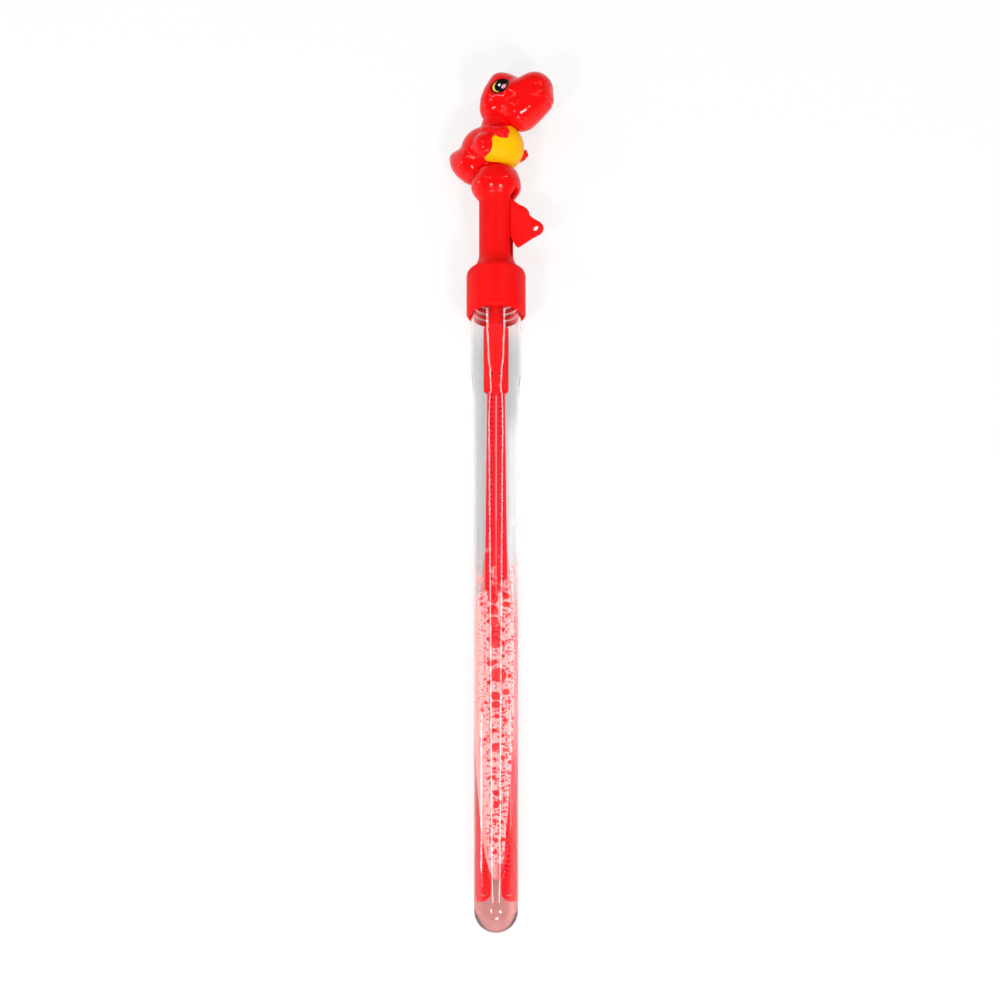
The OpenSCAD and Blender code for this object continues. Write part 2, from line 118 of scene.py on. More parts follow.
def finish_mesh(name, bm, material, smooth=True, crease_deg=35):
    mesh = bpy.data.meshes.new(name)
    bm.to_mesh(mesh)
    bm.free()
    if smooth:
        mesh.shade_smooth()
        mesh.set_sharp_from_angle(angle=math.radians(crease_deg))
    piece = bpy.data.objects.new(name, mesh)
    scene.collection.objects.link(piece)
    if material:
        mesh.materials.append(material)
    return piece


table_size, table_w, table_drop, glow_share = 3.0, 0.2, 0.0002, 0.72
floor_paper, tree = new_material("white_studio_paper")
paper = add_node(tree, "ShaderNodeBsdfDiffuse", {}, {"Color": linear("#F6F6F6")})
glow = add_node(tree, "ShaderNodeEmission", {}, {"Color": (1, 1, 1, 1), "Strength": 1.0})
rays = add_node(tree, "ShaderNodeLightPath").outputs
seen = calc(tree, "MAXIMUM", rays["Is Camera Ray"], rays["Is Transmission Ray"])
share = calc(tree, "MULTIPLY", seen, glow_share)
both = add_node(tree, "ShaderNodeMixShader", {}, {0: share, 1: paper.outputs[0], 2: glow.outputs[0]})
add_node(tree, "ShaderNodeOutputMaterial", {}, {"Surface": both.outputs[0]})
bm = bmesh.new()
bmesh.ops.create_grid(bm, x_segments=4, y_segments=4, size=table_size)
bmesh.ops.translate(bm, verts=bm.verts, vec=(0, table_w, cad_box[0][2] - table_drop))
finish_mesh("table", bm, floor_paper, smooth=False)

world = bpy.data.worlds.new("studio")
scene.world = world
world.use_nodes = True
tree = world.node_tree
tree.nodes.clear()
rays = add_node(tree, "ShaderNodeLightPath").outputs
seen = calc(tree, "MAXIMUM", rays["Is Camera Ray"], rays["Is Transmission Ray"])
climb = split_xyz(tree, add_node(tree, "ShaderNodeTexCoord").outputs["Generated"])["Z"]
ceiling = ramp(tree, climb, 0.0, 0.35, 1.0, 0.18)
plain = ramp(tree, seen, 0.0, 1.0, 0.34, 1.0)
dusk = ramp(tree, climb, 0.0, 0.3, 0.45, 1.0)
through = add_node(tree, "ShaderNodeMix", {}, {0: rays["Is Transmission Ray"], 2: plain, 3: dusk}).outputs[0]
level = add_node(tree, "ShaderNodeMix", {}, {0: rays["Is Glossy Ray"], 2: through, 3: ceiling}).outputs[0]
sky = add_node(tree, "ShaderNodeBackground", {}, {"Color": (1, 1, 1, 1), "Strength": level})
add_node(tree, "ShaderNodeOutputWorld", {}, {"Surface": sky.outputs[0]})

for name, place, aim, size, power in (
    ("left_strip", (-0.62, 0.72, 1.0), (0, 0.2, 0), (0.07, 1.1), 3.0),
    ("right_strip", (0.58, 0.72, 1.0), (0, 0.2, 0), (0.07, 1.1), 3.0),
    ("front_left_box", (-0.55, -0.5, 1.1), (0, 0.25, 0), (0.22, 0.22), 7.2),
    ("front_right_box", (0.5, -0.6, 1.0), (0, 0.25, 0), (0.22, 0.22), 7.2),
    ("front_low_box", (0.1, -1.1, 0.5), (0, 0.3, 0), (0.3, 0.3), 3.0),
    ("left_low_card", (-0.9, 0.47, 0.10), (0, 0.06, 0), (0.08, 0.10), 0.6),
):
    lamp = bpy.data.lights.new(name, "AREA")
    lamp.shape = "RECTANGLE"
    lamp.size, lamp.size_y = size
    lamp.energy = power
    box = bpy.data.objects.new(name, lamp)
    box.location = place
    box.rotation_euler = (Vector(aim) - Vector(place)).to_track_quat("-Z", "Y").to_euler()
    scene.collection.objects.link(box)


# Tube: blow-moulded clear PET with a round end, a cone and a wide mouth with retaining beads.
# The wall is under a millimetre thick, so the eye mostly sees bright rims and what is inside.
# Below the solution's level its flanks are painted pink, a painted reflection of the red arms behind them, paler on
# the left than on the right; the bead crests carry a painted milky highlight.
def object_coords(tree):
    return add_node(tree, "ShaderNodeTexCoord").outputs["Object"]


def noise(tree, coords, scale, detail=2.0):
    return add_node(tree, "ShaderNodeTexNoise", {}, {"Vector": coords, "Scale": scale, "Detail": detail}).outputs[0]


def mix_tones(tree, share, first, second):
    return add_node(tree, "ShaderNodeMix", {"data_type": "RGBA"}, {0: share, 6: first, 7: second}).outputs[2]


clear_pet, tree = new_material("clear_pet")
coords = object_coords(tree)
stretch = add_node(tree, "ShaderNodeMapping", {}, {"Vector": coords, "Scale": (90, 12, 90)})
flow = noise(tree, stretch.outputs[0], 1.0)
ripple = add_node(tree, "ShaderNodeBump", {}, {"Height": flow, "Strength": 0.035, "Distance": 0.0006})
place = split_xyz(tree, coords)
# Painted light: the tint is lighter in the mouth and along the right flank of the straight part, so the view through
# looks brighter there.
painted_light_mouth = ramp(tree, place["Y"], 0.300, 0.312)
painted_light_right_flank = calc(tree, "MULTIPLY", ramp(tree, place["X"], 0.004, 0.007), ramp(tree, place["Y"], 0.268, 0.252))
tint = mix_tones(tree, calc(tree, "MAXIMUM", painted_light_right_flank, painted_light_mouth), linear("#E6E6E6"), linear("#FAFAFA"))
# Painted pink on the flanks below the solution's level, standing in for the red arms seen through the wall.
flank = ramp(tree, calc(tree, "ABSOLUTE", place["X"]), 0.0085, 0.0102)
painted_pink_flanks = calc(tree, "MULTIPLY", flank, ramp(tree, place["Y"], 0.195, 0.150))
painted_see_through_pink = mix_tones(tree, ramp(tree, place["X"], -0.002, 0.002), linear("#FAC2C0"), linear("#F58A90"))
tint_with_painted_pink = mix_tones(tree, painted_pink_flanks, tint, painted_see_through_pink)
skin = add_node(tree, "ShaderNodeBsdfPrincipled", {}, {
    "Base Color": tint_with_painted_pink, "Roughness": 0.02, "IOR": 1.38, "Transmission Weight": 1.0, "Normal": ripple.outputs[0]})
# The bead crests are painted a milky pink, a painted highlight standing in for the light the clear threads catch.
across = add_node(tree, "ShaderNodeCombineXYZ", {}, {"X": place["X"], "Z": place["Z"]})
reach = add_node(tree, "ShaderNodeVectorMath", {"operation": "LENGTH"}, {0: across.outputs[0]}).outputs["Value"]
painted_bead_highlight = add_node(tree, "ShaderNodeBsdfDiffuse", {}, {"Color": linear("#FFD2D0")})
wall = add_node(tree, "ShaderNodeMixShader", {}, {
    0: ramp(tree, reach, 0.0122, 0.0124, 0.0, 0.7), 1: skin.outputs[0], 2: painted_bead_highlight.outputs[0]})
add_node(tree, "ShaderNodeOutputMaterial", {}, {"Surface": wall.outputs[0]})


def spin_profile(points, steps=96):
    bm = bmesh.new()
    verts = [bm.verts.new((r / 1000, w / 1000, 0)) for r, w in points]
    edges = [bm.edges.new(pair) for pair in zip(verts, verts[1:])]
    bmesh.ops.spin(
        bm, geom=verts + edges, cent=(0, 0, 0), axis=(0, 1, 0), dvec=(0, 0, 0), angle=math.tau, steps=steps,
        use_merge=True)
    bmesh.ops.remove_doubles(bm, verts=bm.verts, dist=1e-6)
    bmesh.ops.recalc_face_normals(bm, faces=bm.faces)
    return bm


def round_end(r, angles):
    return [(r * math.sin(math.radians(a)), -r * math.cos(math.radians(a))) for a in angles]


def bead(r, w, rise):
    return [(r, w), (r + rise, w + 0.5), (r + rise, w + 1.0), (r, w + 1.5)]


tube_r, tube_wall, mouth_r, lip_w = 10.75, 0.9, 12.1, 336.0
bore_r, mouth_bore_r = tube_r - tube_wall, mouth_r - tube_wall
cone_low, cone_high, ease_r, ease_w, neck_w = 271.0, 287.0, 0.12, 2.0, 305.0
bead_rise, bead_places = 0.45, (319.0, 322.4, 325.8, 329.2, 332.6)
outside = round_end(tube_r, range(0, 91, 5))
outside += [(tube_r, w) for w in range(16, 272, 16)]
outside += [(tube_r, cone_low), (tube_r + ease_r, cone_low + ease_w)]
outside += [(mouth_r - ease_r, cone_high - ease_w), (mouth_r, cone_high), (mouth_r, neck_w)]
for w in bead_places:
    outside += bead(mouth_r, w, bead_rise)
lip = [(mouth_r, lip_w), (mouth_bore_r, lip_w)]
inside = [(mouth_bore_r, neck_w), (mouth_bore_r, cone_high), (bore_r + ease_r, cone_low + ease_w), (bore_r, cone_low)]
inside += [(bore_r, w) for w in range(256, 0, -16)]
inside += round_end(bore_r, range(90, -1, -5))
tube = finish_mesh("clear_tube", spin_profile(outside + lip + inside), clear_pet)
tube.visible_shadow = False
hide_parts("tube")
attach(tube, "tube")


# Bubble solution: a thin soapy liquid that has run to the low side of the tube, so its surface is one long slope.
# It wets the wall, so its skin lies just inside the plastic and no gap of air shows.
# Its upper face carries a pale film, thickest along the wall and clearer over the arms' tips; on the left the film is
# painted paler and denser as a painted highlight, and low on the right it is painted red for the arms seen through it.
def principled(tree, inputs):
    skin = add_node(tree, "ShaderNodeBsdfPrincipled", {}, inputs)
    add_node(tree, "ShaderNodeOutputMaterial", {}, {"Surface": skin.outputs[0]})


soap_water, tree = new_material("soap_water")
principled(tree, {"Base Color": linear("#FBAFA9"), "Roughness": 0.0, "IOR": 1.33, "Transmission Weight": 1.0})
soap_film, tree = new_material("soap_film")
place = split_xyz(tree, object_coords(tree))
margin = ramp(tree, calc(tree, "ABSOLUTE", place["X"]), 0.0055, 0.0082, 0.0, 0.95)
rim = calc(tree, "MULTIPLY", margin, ramp(tree, place["Y"], 0.025, 0.05))
clearer = calc(tree, "MULTIPLY", rim, ramp(tree, place["Y"], 0.042, 0.052, 0.25, 1.0))
# Painted highlight: the film's left side is denser and painted pale; low on the right it is painted red for the arms
# below.
sides_and_painted_highlight = calc(tree, "MAXIMUM", clearer, ramp(tree, place["X"], -0.0050, -0.002, 0.80, 0.12))
veil = calc(tree, "MAXIMUM", sides_and_painted_highlight, ramp(tree, place["Y"], 0.022, 0.036, 0.92, 0.0))
painted_pale_left = ramp(tree, place["X"], -0.002, 0.002, 1.0, 0.0)
pale = calc(tree, "MAXIMUM", painted_pale_left, ramp(tree, place["Y"], 0.075, 0.105))
tone = mix_tones(tree, pale, linear("#E02C38"), linear("#F29E9C"))
principled(tree, {"Base Color": tone, "Roughness": 0.2, "IOR": 1.33, "Alpha": veil})
wetting, fill_top, level_low, level_high = 0.05, 270.0, 12.0, 212.0
fill_r = bore_r + wetting
fill = round_end(fill_r, range(0, 91, 6))
fill += [(fill_r, w) for w in range(10, 271, 10)] + [(0, fill_top)]
bm = spin_profile(fill, 64)
slope = Vector((0, level_high - level_low, -2 * fill_r)).normalized()
bmesh.ops.bisect_plane(
    bm, geom=bm.verts[:] + bm.edges[:] + bm.faces[:], plane_co=(0, (level_low + level_high) / 2000, 0),
    plane_no=(0, -slope.z, slope.y), clear_outer=True)
for top in bmesh.ops.holes_fill(bm, edges=[e for e in bm.edges if e.is_boundary])["faces"]:
    top.material_index = 1
bmesh.ops.recalc_face_normals(bm, faces=bm.faces)
solution = finish_mesh("bubble_solution", bm, soap_water)
solution.data.materials.append(soap_film)
solution.visible_shadow = False
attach(solution, "tube")


# Foam: a raft of small bubbles on the solution, thin and narrow at the low end and broken up at the high end.
# Pale pink film between round cells of all sizes; the cells are painted red, standing in for the arms seen through the
# foam.
def foam_cells(tree, coords, scale, share_low, room):
    cells = add_node(tree, "ShaderNodeTexVoronoi", {"voronoi_dimensions": "2D"}, {"Vector": coords, "Scale": scale})
    chance = add_node(tree, "ShaderNodeSeparateColor", {}, {"Color": cells.outputs["Color"]}).outputs[0]
    return calc(tree, "SUBTRACT", cells.outputs["Distance"], ramp(tree, chance, share_low, 1.0, 0.0, room))


soap_foam, tree = new_material("soap_foam")
coords = object_coords(tree)
place = split_xyz(tree, coords)
crowd = ramp(tree, place["X"], -0.007, -0.003, 0.3, 0.54)
film = calc(tree, "MINIMUM", foam_cells(tree, coords, 760.0, 0.05, crowd), foam_cells(tree, coords, 300.0, 0.7, 0.36))
# Painted red in the cells, standing in for the arms seen through the foam.
tone = mix_tones(tree, ramp(tree, film, -0.03, 0.07), linear("#CE0C1A"), linear("#F2A7A5"))
broken = calc(tree, "ADD", noise(tree, coords, 150.0), ramp(tree, place["Y"], 0.11, 0.21, 0.30, -0.42))
frayed = calc(tree, "ADD", broken, ramp(tree, place["Y"], 0.020, 0.034, -0.45, 0.0))
raft = ramp(tree, frayed, 0.36, 0.48, 0.0, 0.86)
principled(tree, {"Base Color": tone, "Roughness": 0.25, "IOR": 1.33, "Alpha": raft})
raft_line = ((20.0, 9.05), (38.0, 8.5), (55.0, 7.66), (77.0, 6.2), (112.0, 4.4), (140.0, 3.3), (206.0, 2.7))


def raft_height(w):
    for (w0, h0), (w1, h1) in zip(raft_line, raft_line[1:]):
        if w <= w1:
            return h0 + (h1 - h0) * (w - w0) / (w1 - w0)
    return raft_line[-1][1]


raft_start, raft_length, raft_t = 20.2, 185.6, 0.3
raft_gap, raft_edge, uneven, calm_below = 0.12, 0.1, 0.05, 60
dice = random.Random(7)
bm = bmesh.new()
bmesh.ops.create_grid(bm, x_segments=24, y_segments=180, size=1.0)
for v in bm.verts:
    w = raft_start + raft_length * (v.co.y + 1) / 2
    crown = raft_height(w)
    side = v.co.x * (math.sqrt((bore_r - raft_gap) ** 2 - crown ** 2) - raft_edge)
    lift = dice.uniform(-uneven, uneven) * (1 - v.co.x ** 2)
    v.co = Vector((side, w, crown + min(lift, 0.0 if w < calm_below else lift))) / 1000
bmesh.ops.solidify(bm, geom=bm.faces[:], thickness=raft_t / 1000)
foam = finish_mesh("foam_raft", bm, soap_foam, crease_deg=180)
foam.visible_shadow = False
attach(foam, "tube")


# Larger bubbles in the raft: each a thin skin of soap water round air, flat where it floats.
# Their colour is painted: red in the middle for the arms seen through them, and a pale painted reflection at the rim.
bubble_film, tree = new_material("soap_bubble_film")
# Painted colour: red in the middle for the arms seen through, pale at the rim as a painted reflection.
facing = add_node(tree, "ShaderNodeLayerWeight", {}, {"Blend": 0.35}).outputs["Facing"]
tone = mix_tones(tree, ramp(tree, facing, 0.45, 0.8), linear("#D00C18"), linear("#F6B4B2"))
principled(tree, {"Base Color": tone, "Roughness": 0.12, "IOR": 1.33, "Alpha": 0.82})
bubble_gap, least_bubble, bubble_flat = 0.25, 0.4, 0.35
bm = bmesh.new()
for side, w, size in (
    (1.2, 123.3, 3.9), (-0.2, 112.0, 2.4), (-0.3, 107.2, 2.2), (-0.2, 84.3, 2.1), (0.0, 59.2, 1.5),
    (0.0, 52.1, 1.5), (4.6, 114.2, 1.7), (4.4, 98.6, 1.2), (-5.0, 88.3, 1.0), (3.1, 78.4, 1.25),
    (-0.7, 77.7, 0.9), (-1.6, 68.0, 1.05), (3.1, 90.5, 1.15), (-1.6, 93.1, 1.3), (0.3, 101.0, 1.3),
    (-3.1, 105.0, 0.8), (-5.0, 108.5, 0.95), (6.5, 122.8, 1.0), (-0.2, 141.0, 3.2), (-0.4, 145.4, 2.6),
    (-1.4, 152.5, 2.6), (-1.4, 158.2, 2.7), (-1.5, 164.6, 2.6), (-2.6, 130.0, 1.9), (4.6, 166.0, 1.8),
    (4.6, 161.5, 1.6), (3.1, 140.8, 1.2), (-0.7, 43.9, 1.15), (1.7, 54.4, 0.8), (-2.4, 44.6, 0.8),
    (3.0, 43.0, 0.8), (-1.6, 34.4, 0.85), (2.2, 31.2, 0.8), (2.6, 68.4, 0.7),
):
    crown = raft_height(w)
    size = min(size, bore_r - bubble_gap - math.hypot(side, crown))
    if size > least_bubble:
        place = Matrix.Translation((side / 1000, w / 1000, crown / 1000)) @ Matrix.Diagonal((1, 1, bubble_flat, 1))
        bmesh.ops.create_icosphere(bm, subdivisions=3 if size > 1 else 2, radius=size / 1000, matrix=place)
bubbles = finish_mesh("foam_bubbles", bm, bubble_film, crease_deg=180)
bubbles.visible_shadow = False
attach(bubbles, "tube")


# Screw cap: injection-moulded ABS skirt with a chamfered rim and a rounded upper edge.
# The plastic is coloured through and satin, with the faint unevenness of a mould; light creeps a little way into it.
def moulded_red(name, gloss_low, gloss_high, shine):
    material, tree = new_material(name)
    coords = object_coords(tree)
    cloud = noise(tree, coords, 55.0, 3.0)
    wave = noise(tree, coords, 260.0)
    dent = add_node(tree, "ShaderNodeBump", {}, {"Height": wave, "Strength": 0.02, "Distance": 0.0005})
    principled(tree, {
        "Base Color": mix_tones(tree, cloud, linear("#EC0708"), linear("#F40C0C")),
        "Roughness": ramp(tree, cloud, 0.0, 1.0, gloss_low, gloss_high), "IOR": 1.5, "Specular IOR Level": shine,
        "Normal": dent.outputs[0], "Subsurface Weight": 0.12, "Subsurface Radius": (1.0, 0.08, 0.06),
        "Subsurface Scale": 0.002})
    return material


red_satin = moulded_red("red_abs_satin", 0.40, 0.52, 0.10)
foot_w, roof_w, rim_w = 341.3, 337.3, 317.0
cap_r, thread_r, cap_hole_r = 14.4, 13.1, 3.75
shoulder_r, shoulder_wide, shoulder_high = 12.42, 1.98, 3.2
skirt = [(cap_hole_r, foot_w), (7.2, foot_w), (shoulder_r, foot_w)]
for turn in [math.radians(a) for a in range(10, 91, 10)]:
    skirt.append((shoulder_r + shoulder_wide * math.sin(turn), foot_w - shoulder_high * (1 - math.cos(turn))))
skirt += [(cap_r, 330.0), (cap_r, rim_w + 1.25), (cap_r - 0.3, rim_w + 0.75), (cap_r - 0.85, rim_w + 0.2)]
skirt += [(cap_r - 1.05, rim_w), (thread_r, rim_w)]
for w in (321.0, 324.4, 327.8):
    skirt += bead(thread_r, w, -0.4)
skirt += [(thread_r, roof_w), (cap_hole_r, roof_w), (cap_hole_r, foot_w)]
cap = finish_mesh("moulded_cap", spin_profile(skirt), red_satin, crease_deg=50)
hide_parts("screw_cap")
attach(cap, "handle")


# Stem: moulded in the same red plastic, clamped through the cap's roof, with a wider sleeve below.
# The two arms hang in the sleeve on steel pins.
def drills(name, holes, segments):
    bm = bmesh.new()
    for x, w, r in holes:
        bmesh.ops.create_cone(
            bm, cap_ends=True, segments=segments, radius1=r / 1000, radius2=r / 1000, depth=0.02,
            matrix=Matrix.Translation((x / 1000, w / 1000, 0)))
    return finish_mesh(name, bm, None, smooth=False)


def cut_away(piece, cutter):
    cut = piece.modifiers.new("cut", "BOOLEAN")
    cut.object = cutter
    cut.operation = "DIFFERENCE"
    cut.solver = "EXACT"


def bake_modifiers(piece, smooth_deg=None):
    depsgraph = bpy.context.evaluated_depsgraph_get()
    mesh = bpy.data.meshes.new_from_object(piece.evaluated_get(depsgraph))
    piece.modifiers.clear()
    piece.data = mesh
    if smooth_deg:
        mesh.shade_smooth()
        mesh.set_sharp_from_angle(angle=math.radians(smooth_deg))


head_r, stem_r, sleeve_r, sleeve_bore_r, rod_bore_r, spring_bore_r = 5.6, 3.7, 6.1, 4.9, 1.55, 2.9
stem_top, sleeve_low, web_w, pocket_w = 343.1, 277.0, 300.0, 326.3
stem = [(spring_bore_r, stem_top), (head_r - 0.2, stem_top), (head_r, stem_top - 0.2), (head_r, foot_w)]
stem += [(stem_r, foot_w), (stem_r, 311.6), (3.9, 311.2), (5.1, 311.0), (sleeve_r, 310.0)]
stem += [(sleeve_r, 298.0), (sleeve_r, 286.0), (sleeve_r, 277.4), (5.7, sleeve_low), (sleeve_bore_r, sleeve_low)]
stem += [(sleeve_bore_r, web_w), (rod_bore_r, web_w), (rod_bore_r, pocket_w), (spring_bore_r, pocket_w)]
stem += [(spring_bore_r, stem_top)]
stem_piece = finish_mesh("stem_and_sleeve", spin_profile(stem, 64), red_satin, crease_deg=40)
arm_pin_w, arm_pin_x, arm_pin_r = 284.0, 2.2, 0.95
pin_drill = drills("pin_drill", [(side * arm_pin_x, arm_pin_w, arm_pin_r) for side in (-1, 1)], 24)
cut_away(stem_piece, pin_drill)
bake_modifiers(stem_piece, 40)
bpy.data.objects.remove(pin_drill)
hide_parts("wand_stem")
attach(stem_piece, "handle")


# Arms: two long rails with ribs between them, moulded in red, that carry the soap film.
# They are kept as built, wet and glossier than the handle; the pockets between the ribs carry painted shade from an
# occlusion node.
wet_red, tree = new_material("red_polypropylene_wet")
cloud = noise(tree, object_coords(tree), 120.0)
tone = mix_tones(tree, cloud, linear("#EE0C1A"), linear("#F51A28"))
# Painted shade: an occlusion node darkens the base colour in the pockets between the ribs.
shade = add_node(tree, "ShaderNodeAmbientOcclusion", {"only_local": True, "samples": 8}, {"Distance": 0.0015})
painted_pocket_shade = mix_tones(tree, ramp(tree, shade.outputs["AO"], 0.45, 0.85), linear("#C20816"), tone)
principled(tree, {"Base Color": painted_pocket_shade, "Roughness": 0.3, "IOR": 1.49, "Specular IOR Level": 0.15})
for name in ("arm_left", "arm_right"):
    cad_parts[name].data.materials.clear()
    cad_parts[name].data.materials.append(wet_red)


# Handle: two moulded half shells around the trigger's works, flared at the foot and swollen at the collar.
# A slot runs down the front for the trigger; the grip is satin and the collar polished like the figure.
roll = math.radians(22)


def in_row(x, n, w):
    return Vector((x * math.cos(roll) - n * math.sin(roll), w, x * math.sin(roll) + n * math.cos(roll))) / 1000


def roll_up(bm):
    bmesh.ops.rotate(bm, verts=bm.verts, cent=(0, 0, 0), matrix=Matrix.Rotation(-roll, 3, "Y"))


grip_r, flare, flare_high, flare_curve = 8.3, 3.9, 9.0, 2.2
collar_start, collar_mid, collar_top = 379.8, 386.8, 394.2
collar_rise, collar_fall, crown_r, crown_round = 7.0, 7.4, 10.3, 1.9
grip = [(10.6, 341.4), (12.0, 341.4), (12.2, 341.6)]
for w in (342.2, 343.2, 344.3, 345.6, 347.0, 348.6):
    grip.append((grip_r + flare * (1 - (w - foot_w) / flare_high) ** flare_curve, w))
grip += [(grip_r, w) for w in (350.3, 356.0, 362.0, 368.0, 374.0, 379.0)]
for w in (380.4, 381.4, 382.6, 384.0, 385.4, 386.8):
    grip.append((grip_r + flare * math.sin(math.radians(90 * (w - collar_start) / collar_rise)), w))
for w in (388.2, 389.8, 391.2, 392.6, 393.8):
    grip.append((crown_r + crown_round * math.cos(math.radians(90 * (w - collar_mid) / collar_fall)), w))
grip += [(10.2, collar_top), (0, collar_top), (0, 392.6), (8.6, 392.6), (10.5, 387.0), (6.7, collar_start)]
grip += [(6.7, 350.3), (10.6, 341.4)]
red_grip = moulded_red("red_abs_grip", 0.40, 0.52, 0.10)
tree = red_grip.node_tree
skin = next(n for n in tree.nodes if n.type == "BSDF_PRINCIPLED")
upward = split_xyz(tree, object_coords(tree))["Y"]
tree.links.new(ramp(tree, upward, 0.378, 0.384, 0.46, 0.08), skin.inputs["Roughness"])
tree.links.new(ramp(tree, upward, 0.378, 0.384, 0.10, 0.21), skin.inputs["Specular IOR Level"])
handle = finish_mesh("handle_shells", spin_profile(grip), red_grip, crease_deg=45)
slot_deep, slot_long, slot_wide, slot_w = 14.2, 36.4, 3.8, 365.8
bm = bmesh.new()
bmesh.ops.create_cube(bm, size=1.0)
bmesh.ops.scale(bm, vec=(slot_deep / 1000, slot_long / 1000, slot_wide / 1000), verts=bm.verts)
bmesh.ops.bevel(bm, geom=bm.edges[:], offset=0.0006, segments=3, profile=0.5, affect="EDGES", material=-1)
roll_up(bm)
bmesh.ops.translate(bm, verts=bm.verts, vec=in_row(slot_deep / 2, 0, slot_w))
slot_cutter = finish_mesh("slot_cutter", bm, None, smooth=False)
cut_away(handle, slot_cutter)
bake_modifiers(handle, 40)
bpy.data.objects.remove(slot_cutter)
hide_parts("handle_near_shell", "handle_far_shell")
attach(handle, "handle")


# Trigger: a flat moulded lever with a scalloped front edge and a hole in its tip for a cord.
# It swings on a steel pin inside the collar.
def arc(x, w, r, angles):
    return [(x + r * math.cos(math.radians(a)), w + r * math.sin(math.radians(a))) for a in angles]


pivot_x, pivot_w, pivot_r, trigger_t = -3.486, 386.1, 1.25, 2.6
tip_x, tip_w, tip_r, tip_hole_r = 24.39, -25.3, 3.7, 1.6
edge = [(1.9, 2.2), (8.5, -4.0), (13.2, -8.6), (15.4, -10.8)]
edge += arc(16.0, -16.8, 4.7, (62, 45, 28, 12, -2))
edge += [(22.6, -19.2), (24.2, -20.6)]
edge += arc(tip_x, tip_w, tip_r, range(55, -80, -15))
edge += [(21.8, -30.2), (18.7, -31.8), (15.1, -33.5), (14.5, -33.6), (13.9, -33.0)]
edge += [(12.7, -30.5), (5.5, -17.5), (-1.9, -2.4)]
edge += arc(0, 0, 3.1, (200, 170, 140, 110, 80))
bm = bmesh.new()
plate = bm.faces.new([bm.verts.new((x / 1000, w / 1000, -trigger_t / 2000)) for x, w in edge])
solid = bmesh.ops.extrude_face_region(bm, geom=[plate])
raised = [v for v in solid["geom"] if isinstance(v, bmesh.types.BMVert)]
bmesh.ops.translate(bm, verts=raised, vec=(0, 0, trigger_t / 1000))
bmesh.ops.recalc_face_normals(bm, faces=bm.faces)
lever = finish_mesh("trigger_lever", bm, red_satin)
trigger_drill = drills("trigger_drill", [(tip_x, tip_w, tip_hole_r), (0, 0, pivot_r)], 32)
cut_away(lever, trigger_drill)
soften = lever.modifiers.new("soft_edges", "BEVEL")
soften.width = 0.0004
soften.segments = 3
soften.limit_method = "ANGLE"
soften.angle_limit = math.radians(50)
bake_modifiers(lever)
bpy.data.objects.remove(trigger_drill)
bm = bmesh.new()
bm.from_mesh(lever.data)
roll_up(bm)
bmesh.ops.translate(bm, verts=bm.verts, vec=in_row(pivot_x, 0, pivot_w))
bm.to_mesh(lever.data)
bm.free()
lever.data.shade_smooth()
lever.data.set_sharp_from_angle(angle=math.radians(40))
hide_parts("trigger")
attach(lever, "trigger")


# Dinosaur's body: two hollow moulded halves, a round chest on a fat hip that runs out in a short tail.
# The halves stand on the handle's collar and meet in a fine seam along the back.
def blob_mesh(balls, voxel, rounds, grow):
    bm = bmesh.new()
    for x, n, w, r, fat in balls:
        place = Matrix.Translation((x / 1000, w / 1000, n / 1000)) @ Matrix.Diagonal((1, 1, fat, 1))
        bmesh.ops.create_icosphere(bm, subdivisions=4, radius=(r + grow) / 1000, matrix=place)
    rough = finish_mesh("rough_blob", bm, None)
    skin = rough.modifiers.new("skin", "REMESH")
    skin.mode = "VOXEL"
    skin.voxel_size = voxel / 1000
    relax = rough.modifiers.new("relax", "SMOOTH")
    relax.factor = 0.5
    relax.iterations = rounds
    bake_modifiers(rough)
    bm = bmesh.new()
    bm.from_mesh(rough.data)
    bpy.data.objects.remove(rough)
    return bm


def press_seam(bm, depth=0.15, seam_wide=0.00035):
    bm.normal_update()
    for v in bm.verts:
        v.co -= v.normal * depth / 1000 * math.exp(-(v.co.z / seam_wide) ** 2)


red_polished = moulded_red("red_abs_polished", 0.05, 0.09, 0.21)
body_balls = [
    (1.6, 0, 419.2, 8.4, 1), (1.1, 0, 407.8, 12.3, 1), (-5.9, 0, 407.5, 11.5, 1), (-10.6, 0, 400.9, 10.3, 1),
    (-13.4, 0, 401.6, 8.9, 1), (-15.8, 0, 402.5, 7.4, 1), (-17.2, 0, 403.3, 6.4, 1), (-18.4, 0, 404.1, 5.4, 1),
    (-20.2, 0, 405.3, 4.0, 1), (-2.2, 8.3, 406.2, 6.0, 1), (-2.2, -8.3, 406.2, 6.0, 1), (-0.6, 0, 398.6, 6.6, 1),
]
bm = blob_mesh(body_balls, voxel=0.4, rounds=80, grow=0.25)
press_seam(bm)
roll_up(bm)
torso = finish_mesh("dinosaur_body", bm, red_polished, crease_deg=180)
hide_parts("body_near_shell", "body_far_shell")
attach(torso, "handle")


# Belly: a smooth shell of yellow plastic set over the front of the chest, tilted a little downwards.
# It follows the chest's round and stands a hair proud of it.
yellow_abs, tree = new_material("yellow_abs_moulded")
cloud = noise(tree, object_coords(tree), 60.0)
principled(tree, {
    "Base Color": mix_tones(tree, cloud, linear("#F9B400"), linear("#FDBC00")),
    "Roughness": ramp(tree, cloud, 0.0, 1.0, 0.28, 0.40), "IOR": 1.5, "Specular IOR Level": 0.08})
belly_r, belly_cut, belly_t, belly_lean = 12.6, 1.8, 0.4, math.radians(36)
chest_x, chest_w = 1.1, 407.8
bm = bmesh.new()
bmesh.ops.create_uvsphere(bm, u_segments=96, v_segments=64, radius=belly_r / 1000)
bmesh.ops.bisect_plane(
    bm, geom=bm.verts[:] + bm.edges[:] + bm.faces[:], plane_co=(0, 0, belly_cut / 1000), plane_no=(0, 0, 1),
    clear_inner=True)
